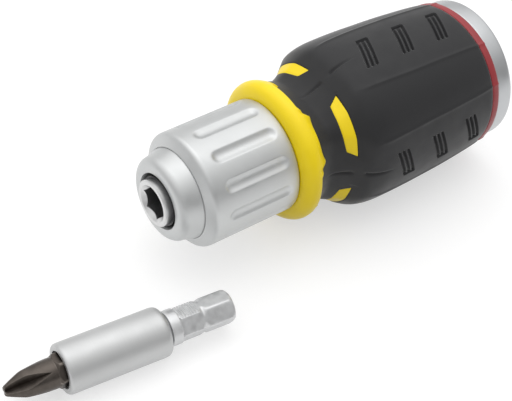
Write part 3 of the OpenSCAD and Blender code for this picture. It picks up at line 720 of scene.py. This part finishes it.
def make_grip():
    """Soft grip round the core: inner wall from the rear, front edge, skin and rear edge."""
    inner = core_line(CORE_GAP)
    front_angles = ring_angles(x_grip)

    def front_row(t, drop):
        """Row a share t of the way from the ring's teeth to the first full row."""
        row = []
        for q, a in front_angles:
            place = mix(front_edge(a), FIRST_ROW, t)
            across = GRIP_R * NECK_SHARE * math.radians(HALF_QUARTER - abs(a))
            r = skin(place, a) - drop - crease_drop(place, across)
            row.append(lobed(mix(front_edge(a) + TOOTH_GAP, FIRST_ROW, t), r, q, a))
        return row

    rings = [[lobed(x, r, q, a) for q, a in ring_angles(x)] for x, r in reversed(inner[1:])]
    rings.append([lobed(front_edge(a) + TOOTH_GAP, inner[0][1], q, a) for q, a in front_angles])
    rings += [front_row(0.0, drop) for drop in EDGE_DROPS]
    rings += [front_row(t, 0.0) for t in FRONT_SHARES]
    rings += [[grip_point(x, q, a) for q, a in ring_angles(x)] for x in grip_rows()]
    for back, drop in TAIL_ROUND:
        x = x_tail - back
        rings.append([lobed(x, skin(x, a) - drop, q, a) for q, a in ring_angles(x_tail)])
    add_piece("soft_grip", ring_mesh("soft_grip", rings, True), grip_rubber, "handle",
              ["grip"])


# Core: front ring with the share of its length at its crest, its face, the shares and drops of the
# rows behind the crest, the bore inside the housing's largest radius, chamber and spigot
RING_R = 15.55
RING_CREST = 0.63
RING_FACE_INSET = 0.2
RING_EDGE_DROP = 0.2
RING_SHARES = (0.25, 0.5, 0.75, 0.9, 0.97)
RING_REAR_DROPS = (0.10, 0.9)
TOOTH_SINK = 0.02
BORE_INSET = 1.0
BORE_CHAMFER = 0.3
CHAMBER_R = 12.6
CHAMBER_CHAMFER = 0.2
SPIGOT_R = 13.8


def make_core():
    """Hard core: bored ring with its teeth, the neck and barrel under the grip, the chamber."""
    crest_x = x_ring + RING_CREST * (x_grip - x_ring)
    edge_r = RING_R - RING_EDGE_DROP
    bore_r = outer_radius("ratchet_housing") - BORE_INSET
    angles = ring_angles(x_grip)
    rings = []

    def turn(x, r):
        rings.append([lobed(x, r, q, a) for q, a in angles])

    def rear_radius(a):
        """Radius of the ring's rear edge, which meets the grip's skin at the teeth."""
        return mix(edge_r, skin(front_edge(a), a) - TOOTH_SINK, clamp(tooth_reach(a)))

    turn(x_house_end, bore_r)
    turn(x_ring + BORE_CHAMFER, bore_r)
    turn(x_ring, bore_r + BORE_CHAMFER)
    turn(x_ring, sleeve_r - RING_FACE_INSET)
    for x, r in quarter_arc(x_ring, sleeve_r, crest_x - x_ring, RING_R - sleeve_r):
        turn(x, r)
    for t in RING_SHARES:
        rings.append([lobed(mix(crest_x, front_edge(a), t), mix(RING_R, rear_radius(a), t * t),
                            q, a) for q, a in angles])
    for drop in RING_REAR_DROPS:
        rings.append([lobed(front_edge(a), rear_radius(a) - drop, q, a) for q, a in angles])
    line = core_line(0.0)
    rings.append([lobed(front_edge(a), line[0][1], q, a) for q, a in angles])
    for x, r in line[1:]:
        turn(x, r)
    turn(x_tail, SPIGOT_R)
    turn(x_spigot, SPIGOT_R)
    turn(x_spigot, CHAMBER_R + CHAMBER_CHAMFER)
    turn(x_spigot - CHAMBER_CHAMFER, CHAMBER_R)
    turn(x_chamber, CHAMBER_R)
    add_piece("handle_shell", ring_mesh("handle_shell", rings), yellow_plastic, "handle",
              ["handle_core"])


# Steps across a petal, and rows along it as shares of its length
PETAL_STEPS = 24
PETAL_ROWS = (0.06, 0.25, 0.5, 0.75, 0.94)


def petal_row(x, q, top):
    """Ring of a petal at place x: upper side, lower by top and at its ends, then underside."""
    half = edge_line(x) - math.degrees(PETAL_GAP / GRIP_R)
    angles = [half * (2 * j / PETAL_STEPS - 1) for j in range(PETAL_STEPS + 1)]
    upper = []
    for j, a in enumerate(angles):
        lip = PETAL_LIP if j in (0, PETAL_STEPS) else 0.0
        place = x + bow(x, a)
        upper.append(lobed(place, skin(place, a) - PETAL_SINK - top - lip, q, a))
    return upper + [lobed(x + bow(x, a), skin(x, a) - PETAL_DEEP, q, a) for a in reversed(angles)]


def make_petals():
    """Four petals that show through the grip, each a block with a rounded upper edge."""
    for q in range(QUARTERS):
        rings = [petal_row(PETAL_FRONT + PETAL_GAP, q, PETAL_LIP)]
        rings += [petal_row(mix(PETAL_FRONT, PETAL_REAR, t), q, 0.0) for t in PETAL_ROWS]
        rings.append(petal_row(PETAL_REAR - PETAL_GAP, q, PETAL_LIP))
        name = f"petal_{q + 1}"
        add_piece(name, ring_mesh(name, rings), yellow_plastic, "handle")


# End ring: distance behind the grip and drop below its outline, from front to rear
END_RING_GAP = 0.02
END_RING_ROWS = ((END_RING_GAP, 0.35), (END_RING_GAP, 0.16), (0.15, 0.06), (0.6, 0.04), (1.4, 0.10),
                 (1.75, 0.18), (1.92, 0.34), (x_spigot - x_tail, 0.55))


def make_end_ring():
    """Ring behind the grip, with the grip's own lobed outline."""
    angles = ring_angles(x_tail)
    rings = [[lobed(x_tail + along, skin(x_tail, a) - drop, q, a) for q, a in angles]
             for along, drop in END_RING_ROWS]
    for x in (x_spigot, x_tail + END_RING_GAP):
        rings.append([lobed(x, SPIGOT_R, q, a) for q, a in angles])
    add_piece("red_ring", ring_mesh("red_ring", rings, True), red_plastic, "handle",
              ["end_ring"])


def make_end_cap():
    """Turned cap with a pocket for the magazine's flange and a hole for its screw."""
    pocket_r = 10.9
    pocket_x = x_cap + 1.9
    screw_r = 1.9
    screw_x = pocket_x + 1.2
    centre_r = 0.4
    profile = rounded([
        (screw_x, screw_r, 0), (pocket_x, screw_r, 0), (pocket_x, pocket_r, 0),
        (x_cap, pocket_r, 0.15), (x_cap, cap_r, 0.35), (x_end, cap_r, 0.8), (x_end, centre_r, 0),
    ])
    add_piece("turned_cap", turned("turned_cap", profile, False), cap_metal, "magazine",
              ["end_cap"])


# Selector sleeve: flutes, bores, and the cam groove's throw
FLUTES = 12
FLUTE_W = 2.9
FLUTE_DEPTH = 0.55
FLUTE_FRONT = 10.45
FLUTE_REAR = 25.95
FLUTE_TURN = -6.0
FLUTE_SOFT = 0.3
BORE_R = 10.0
HOUSE_BORE_R = 10.45
CAM_THROW = 0.6
# Points of the sleeve: degrees from a flute's middle on one side, distances in from a flute's end,
# distance of the middle rows from the ends and their shares, and the plain wall past a flute
FLUTE_ANGLES = (-13.5, -11.5, -9.8, -8.6, -7.7, -7.0, -6.4, -5.7, -4.8, -3.6, -2.2, -0.8)
FLUTE_END_ROWS = (-0.3, 0.0, 0.15, 0.3, 0.5, 0.75, 1.05, 1.45, 2.0)
FLUTE_INSET = 2.5
FLUTE_SHARES = (0.0, 0.25, 0.5, 0.75, 1.0)
FLUTE_ROOM = 0.6


def flute_radius(x, a, wall):
    """Radius of the sleeve's wall where a scooped flute cuts it, at angle a from the flute."""
    cutter = (FLUTE_W ** 2 / 4 + FLUTE_DEPTH ** 2) / (2 * FLUTE_DEPTH)
    middle = sleeve_r - FLUTE_DEPTH + cutter
    front = FLUTE_FRONT + FLUTE_W / 2
    rear = FLUTE_REAR - FLUTE_W / 2
    past = max(front - x, x - rear, 0.0)
    across = middle * math.sin(math.radians(a))
    left = cutter ** 2 - past ** 2 - across ** 2
    if left <= 0:
        return wall
    cut = middle * math.cos(math.radians(a)) - math.sqrt(left)
    return soft_min(wall, cut, FLUTE_SOFT) if cut < wall + FLUTE_SOFT else wall


def make_sleeve():
    """Fluted sleeve: outer wall from the front, then the bore with its grooves from the rear."""
    line = list(FLUTE_ANGLES) + [-d for d in reversed(FLUTE_ANGLES)]
    angles = [(k * 360 / FLUTES + FLUTE_TURN + d, d) for k in range(FLUTES) for d in line]
    lip_r = BORE_R + 0.3
    cone_r = 12.2
    cone_len = 1.2
    nose_len = 1.8
    mouth_len = 0.6
    outer = rounded([
        (x_sleeve, BORE_R, 0), (x_sleeve, lip_r, 0.15), (x_sleeve + cone_len, cone_r, 0.5),
        (x_sleeve + nose_len, sleeve_r, 0.4), (FLUTE_FRONT - FLUTE_ROOM, sleeve_r, 0),
    ])
    body = [mix(FLUTE_FRONT + FLUTE_INSET, FLUTE_REAR - FLUTE_INSET, t) for t in FLUTE_SHARES]
    for edge, sign in ((FLUTE_FRONT, 1), (FLUTE_REAR, -1)):
        body += [edge + sign * d for d in FLUTE_END_ROWS]
    outer += [(x, sleeve_r) for x in sorted(body)]
    outer += rounded([
        (FLUTE_REAR + FLUTE_ROOM, sleeve_r, 0), (x_sleeve_end, sleeve_r, 0.4),
        (x_sleeve_end, HOUSE_BORE_R, 0.1), (x_sleeve_end - mouth_len, HOUSE_BORE_R, 0),
    ])
    rings = [[on_axis(x, flute_radius(x, d, r) if r == sleeve_r else r, a) for a, d in angles]
             for x, r in outer]

    def bore(x, r, throw=0.0):
        """Inner ring; a throw sets the cam groove off the axis towards +Z."""
        ring = []
        for a, _ in angles:
            up = throw * math.sin(math.radians(a))
            aside = throw * math.cos(math.radians(a))
            off = up + math.sqrt(HOUSE_BORE_R ** 2 - aside ** 2)
            ring.append(on_axis(x, max(r, off) if throw else r, a))
        rings.append(ring)

    def groove(front, rear, depth):
        """Ring groove in the bore round the housing, from its rear wall to its front wall."""
        for x, r in ((rear, 0.0), (rear, depth), (front, depth), (front, 0.0)):
            bore(x, HOUSE_BORE_R + r)

    gap = 0.1
    detent_depth = 0.25
    snap_depth = 0.6
    groove(*ends("detent_ball"), detent_depth)
    for x, throw in ((x_window_end, 0.0), (x_window_end, CAM_THROW), (x_window, CAM_THROW),
                     (x_window, 0.0)):
        bore(x, HOUSE_BORE_R, throw)
    groove(x_snap - gap, x_snap_end + gap, snap_depth)
    bore(x_house - gap, HOUSE_BORE_R)
    bore(x_house - gap, BORE_R)
    add_piece("fluted_sleeve", ring_mesh("fluted_sleeve", rings, True), satin_metal, "selector",
              ["selector_sleeve"])


def make_collar():
    """Release collar: flared mouth, round nose, wall into the sleeve, skirt and ball land."""
    face_r = 7.2
    nose_round = 2.0
    skirt_r = 7.8
    land_r = 5.15
    x_ball = x_spring - 3.55
    mouth_slope = 0.38
    mouth_r = land_r + mouth_slope * (x_ball - x_collar)
    profile = rounded([(x_collar + 0.25, mouth_r - 0.05, 0), (x_collar, mouth_r + 0.05, 0.12)])
    profile += quarter_arc(x_collar, face_r, nose_round, nose_round)
    profile += rounded([
        (x_sleeve - 0.2, collar_r - 0.03, 0), (x_sleeve, collar_r, 0), (x_skirt, collar_r, 0.2),
        (x_skirt, skirt_r, 0.2), (x_spring, skirt_r, 0.2), (x_spring, land_r, 0),
        (x_ball, land_r, 0),
    ])
    add_piece("nose_collar", turned("nose_collar", profile, True), satin_metal, "collar",
              ["release_collar"])


def make_collar_spring():
    """Coil behind the collar, pressed shorter towards the spindle's flange by the collar."""
    coil_r = 6.4
    wire_r = 0.3
    turns = 4
    per_turn = 32
    sides = 10
    room = x_flange - x_spring
    rise = (room - 2 * wire_r) / turns
    angles = [2 * math.pi * k / sides for k in range(sides)]
    rings = []
    for i in range(turns * per_turn + 1):
        a = 2 * math.pi * i / per_turn
        out = Vector((0, math.cos(a), math.sin(a)))
        along = Vector((rise / (2 * math.pi), -coil_r * math.sin(a), coil_r * math.cos(a)))
        across = along.normalized().cross(out)
        middle = Vector((x_spring + wire_r + rise * i / per_turn, 0, 0)) + out * coil_r
        rings.append([(middle + wire_r * (math.cos(b) * out + math.sin(b) * across)) * MM
                      for b in angles])
    spring = add_piece("coil_spring", ring_mesh("coil_spring", rings), spring_steel, "spindle",
                       ["collar_spring"])
    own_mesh(spring)


def make_holder_sleeve():
    """Sleeve of the bit holder, open at its mouth, with walls in front of and behind its body."""
    outer_r = 5.2
    lip_r = 3.85
    lip_len = 1.0
    body_r = 4.2
    neck_r = 3.15
    neck_x = HOLDER_LEN - 0.6
    profile = rounded([
        (0.0, lip_r, 0.2), (0.0, outer_r, 1.0), (HOLDER_LEN, outer_r, 1.5), (HOLDER_LEN, neck_r, 0),
        (neck_x, neck_r, 0), (neck_x, body_r, 0), (lip_len, body_r, 0), (lip_len, lip_r, 0),
    ])
    add_piece("holder_barrel", turned("holder_barrel", profile, True), holder_metal, "holder",
              ["holder_sleeve"], holder_place)


# Insert bit: its tip from the holder's mouth, its hexagon, and radius by distance from the tip
BIT_TIP = -11.49
BIT_LEN = 25.0
BIT_AF = 6.35
BIT_CORNER = 3.61
BIT_LINE = ((0.0, 0.8), (0.12, 1.08), (0.4, 1.3), (1.2, 1.7), (2.6, 2.32), (3.8, 2.8), (4.5, 2.94),
            (6.5, 3.02), (9.4, 3.12))
BIT_SHOULDER = 10.2
BIT_STEPS = 60
BIT_OVERLAP = 0.3
# Flutes: walls to both sides, in degrees, and the floor's radius, which rises until it runs out;
# shares of the points on a wall and on the land beside it, and the least half angle of a flute
BIT_FLUTES = 4
BIT_FLUTE_TURN = 123.5
BIT_FLUTE_WALLS = (44.0, 50.0)
BIT_FLUTE_FLOOR = 0.3
BIT_FLUTE_RISE = 0.2
BIT_FLUTE_RUN_OUT = 0.012
BIT_FLUTE_LEAST = 1.5
BIT_WALL_SHARES = (0.0, 0.2, 0.4, 0.6, 0.78, 0.9, 0.97)
BIT_LAND_SHARES = (0.0, 0.06, 0.25, 0.55, 1.0)
# Hexagon: (place past the shoulder, corner radius) rows of its start, (distance from the end,
# corner radius) rows of its end, the angle of a corner, also of the shank's, and the step round
BIT_HEX_START = ((-0.1, 3.02), *((0.1 * k, 3.1 + 0.085 * k) for k in range(7)))
BIT_HEX_END = ((0.6, BIT_CORNER), (0.1, 3.0))
BIT_HEX_TURN = 110.0
SHANK_HEX_TURN = -7.5
HEX_STEP = 2.5


def hex_radius(angle, turn, across):
    """Radius of a hexagon with a corner at turn."""
    off = (angle - turn) % 60 - 30
    return across / 2 / math.cos(math.radians(off))


def bit_quarter(d):
    """Angles and radii of a quarter of the bit round a flute, at distance d from the tip."""
    r = along_line(BIT_LINE, d)
    floor = BIT_FLUTE_FLOOR + BIT_FLUTE_RISE * d + BIT_FLUTE_RUN_OUT * d * d
    quarter = []
    for wall, sign in zip(BIT_FLUTE_WALLS, (-1, 1)):
        reach = floor * math.sin(math.radians(wall))
        half = max(wall - math.degrees(math.asin(min(reach / r, 1.0))), BIT_FLUTE_LEAST)
        side = [(half * t, min(r, reach / math.sin(math.radians(wall - half * t))))
                for t in BIT_WALL_SHARES]
        side += [(mix(half, HALF_QUARTER, t), r) for t in BIT_LAND_SHARES]
        side = [(sign * a, cut) for a, cut in side]
        quarter += side[:0:-1] if sign < 0 else side[:-1]
    return quarter


def make_bit():
    """Insert bit in two pieces: the fluted point, and the hexagon with its chamfered ends."""
    places = [BIT_SHOULDER * t / BIT_STEPS for t in range(BIT_STEPS + 1)]
    places += [d for d, _ in BIT_LINE] + [BIT_SHOULDER + BIT_OVERLAP]
    rings = []
    for d in sorted(set(places)):
        quarter = bit_quarter(d)
        rings.append([on_axis(BIT_TIP + d, cut, BIT_FLUTE_TURN + QUARTER * k + a)
                      for k in range(BIT_FLUTES) for a, cut in quarter])
    add_piece("bit_point", ring_mesh("bit_point", rings), dark_steel, "bit", ["bit"],
              holder_place)
    angles = [BIT_HEX_TURN + HEX_STEP * j for j in range(round(360 / HEX_STEP))]
    hexes = [(BIT_SHOULDER + along, limit) for along, limit in BIT_HEX_START]
    hexes += [(BIT_LEN - back, limit) for back, limit in BIT_HEX_END]
    rings = [[on_axis(BIT_TIP + d, min(limit, hex_radius(a, BIT_HEX_TURN, BIT_AF)), a)
              for a in angles] for d, limit in hexes]
    add_piece("bit_hex", ring_mesh("bit_hex", rings), dark_steel, "bit", (),
              holder_place)


# Tool marks on the holder's shank: count, pitch, first place past the hexagon's start, and the
# (place, depth) rows of one; ball notch and end: (place, corner radius) rows
MARKS = 7
MARK_PITCH = 0.58
MARK_FIRST = 0.4
MARK_ROWS = ((0.0, 0.0), (0.28, 0.0), (0.4, 0.13), (0.48, 0.13))
NOTCH_ROWS = ((-0.75, BIT_CORNER), (-0.45, 3.42), (-0.25, 3.27), (-0.08, 3.21), (0.08, 3.21),
              (0.25, 3.27), (0.45, 3.42), (0.8, BIT_CORNER))
SHANK_END_ROWS = ((1.1, BIT_CORNER), (0.7, 3.5), (0.35, 3.3), (0.12, 3.05), (0.0, 2.75))


def make_holder_shank():
    """Body inside the sleeve with the bit's socket, grooved neck, and shank with its ball notch."""
    body_r = 4.15
    neck_r = 3.7
    groove_r = 3.05
    groove_x = HOLDER_LEN - 0.65
    neck_x = HOLDER_LEN + 0.6
    socket_af = 6.4
    socket_x = 1.0
    socket_end = 13.6
    magnet_r = 3.0
    magnet_len = 3.0
    notch = HOLDER_TOTAL - 6.9
    hex_start = 25.0
    angles = [HEX_STEP * j for j in range(round(360 / HEX_STEP))]
    rings = []

    def turn(x, r):
        rings.append([on_axis(x, r, a) for a in angles])

    def hexagon(x, limit, depth=0.0):
        """Ring of the shank, its corners cut at a limit, with a tool mark on the upper flat."""
        ring = []
        for a in angles:
            mark = depth if 60 < a - SHANK_HEX_TURN < 120 else 0.0
            ring.append(on_axis(x, min(hex_radius(a, SHANK_HEX_TURN, BIT_AF) - mark, limit), a))
        rings.append(ring)

    turn(socket_end + magnet_len, magnet_r)
    turn(socket_end, magnet_r)
    for x in (socket_end, socket_x):
        rings.append([on_axis(x, hex_radius(a, BIT_HEX_TURN, socket_af), a) for a in angles])
    turn(socket_x, body_r)
    for x, r in rounded([(groove_x, body_r, 0), (groove_x, groove_r, 0), (neck_x, groove_r, 0),
                         (neck_x, neck_r, 0.25), (hex_start, neck_r, 0.25),
                         (hex_start, BIT_CORNER - 0.35, 0)]):
        turn(x, r)
    hexagon(hex_start + 0.02, BIT_CORNER - 0.3)
    hexagon(hex_start + 0.3, BIT_CORNER)
    for k in range(MARKS):
        for along, depth in MARK_ROWS:
            hexagon(hex_start + MARK_FIRST + MARK_PITCH * k + along, BIT_CORNER, depth)
    for along, limit in NOTCH_ROWS:
        hexagon(notch + along, limit)
    for back, limit in SHANK_END_ROWS:
        hexagon(HOLDER_TOTAL - back, limit)
    add_piece("drive_shank", ring_mesh("drive_shank", rings), shank_metal, "holder",
              ["holder_shank"], holder_place)


make_grip()
make_core()
make_petals()
make_end_ring()
make_end_cap()
make_sleeve()
make_collar()
make_collar_spring()
make_holder_sleeve()
make_holder_shank()
make_bit()

# Floor: half its width in metres, its colour, and what camera and reflections see on top of it
FLOOR_HALF = 3.0
FLOOR_COLOUR = 0.5
FLOOR_ROUGH = 0.9
FLOOR_LIFT = 0.54
# Dome: strength on the near side and behind the object, and (height, brightness) stops
DOME_LEVELS = (0.62, 1.4)
DOME_STOPS = ((0.0, 0.48), (0.22, 0.51), (0.5, 0.85), (0.75, 1.2), (1.0, 1.2))
# Key light: place, target and size in metres, and power in watts
KEY_PLACE = (0.15, 0.10, 0.75)
KEY_TARGET = (0.03, 0.0, 0.0)
KEY_SIZE = (0.7, 0.5)
KEY_WATTS = 0.8
# Camera, at the photograph's viewing angle
CAMERA_PLACE = (-126.6, -173.7, 212.3)
CAMERA_FORWARD = (0.47625, 0.53650, -0.69668)
CAMERA_UPWARD = (0.36729, 0.59850, 0.71197)
CAMERA_LENS = 105.47
CAMERA_SENSOR = 36.0
CAMERA_NEAR = 0.01


def make_floor():
    """Pale floor that keeps the object's shadow."""
    mesh = bpy.data.meshes.new("floor")
    corners = ((-1, -1), (1, -1), (1, 1), (-1, 1))
    mesh.from_pydata([(x * FLOOR_HALF, y * FLOOR_HALF, floor_z) for x, y in corners], [],
                     [(0, 1, 2, 3)])
    floor = bpy.data.objects.new("floor", mesh)
    bpy.context.scene.collection.objects.link(floor)
    material = bpy.data.materials.new("floor")
    material.use_nodes = True
    tree = material.node_tree
    shader = tree.nodes["Principled BSDF"]
    shader.inputs["Base Color"].default_value = (FLOOR_COLOUR, FLOOR_COLOUR, FLOOR_COLOUR, 1)
    shader.inputs["Roughness"].default_value = FLOOR_ROUGH
    shader.inputs["Emission Color"].default_value = (1, 1, 1, 1)
    path = node(tree, "ShaderNodeLightPath")
    seen = path.outputs["Is Camera Ray"]
    for kind in ("Is Glossy Ray", "Is Transmission Ray"):
        seen = combined(tree, "MAXIMUM", seen, path.outputs[kind])
    lift = ranged(tree, seen, 0.0, 1.0, 0.0, FLOOR_LIFT)
    tree.links.new(lift, shader.inputs["Emission Strength"])
    mesh.materials.append(material)


def make_world():
    """Studio dome: bright overhead, greyer towards the horizon and darker on the near side."""
    world = bpy.data.worlds.new("studio")
    bpy.context.scene.world = world
    world.use_nodes = True
    tree = world.node_tree
    background = tree.nodes["Background"]
    parts = split(tree, node(tree, "ShaderNodeTexCoord").outputs["Generated"])
    ramp = node(tree, "ShaderNodeValToRGB")
    tree.links.new(parts[2], ramp.inputs[0])
    elements = ramp.color_ramp.elements
    elements[0].position = DOME_STOPS[0][0]
    elements[1].position = DOME_STOPS[-1][0]
    for place, _ in DOME_STOPS[1:-1]:
        elements.new(place)
    for element, (_, level) in zip(elements, DOME_STOPS):
        element.color = (level, level, level, 1)
    tree.links.new(ramp.outputs[0], background.inputs["Color"])
    strength = ranged(tree, parts[1], -1.0, 1.0, *DOME_LEVELS)
    tree.links.new(strength, background.inputs["Strength"])


def make_key_light():
    """Softbox over the object."""
    light = bpy.data.lights.new("key", "AREA")
    light.shape = "RECTANGLE"
    light.size, light.size_y = KEY_SIZE
    light.energy = KEY_WATTS
    lamp = bpy.data.objects.new("key", light)
    bpy.context.scene.collection.objects.link(lamp)
    lamp.location = KEY_PLACE
    aim = Vector(KEY_TARGET) - Vector(KEY_PLACE)
    lamp.rotation_euler = aim.to_track_quat("-Z", "Y").to_euler()


def make_camera():
    """Camera whose axes are made square from the directions it is given."""
    forward = Vector(CAMERA_FORWARD).normalized()
    right = forward.cross(Vector(CAMERA_UPWARD)).normalized()
    upward = right.cross(forward)
    data = bpy.data.cameras.new("camera")
    data.lens = CAMERA_LENS
    data.sensor_width = CAMERA_SENSOR
    data.clip_start = CAMERA_NEAR
    camera = bpy.data.objects.new("camera", data)
    bpy.context.scene.collection.objects.link(camera)
    axes = Matrix((right, upward, -forward)).transposed().to_4x4()
    camera.matrix_world = Matrix.Translation(Vector(CAMERA_PLACE) * MM) @ axes
    bpy.context.scene.camera = camera


make_floor()
make_world()
make_key_light()
make_camera()
bpy.context.scene.view_settings.view_transform = "Standard"
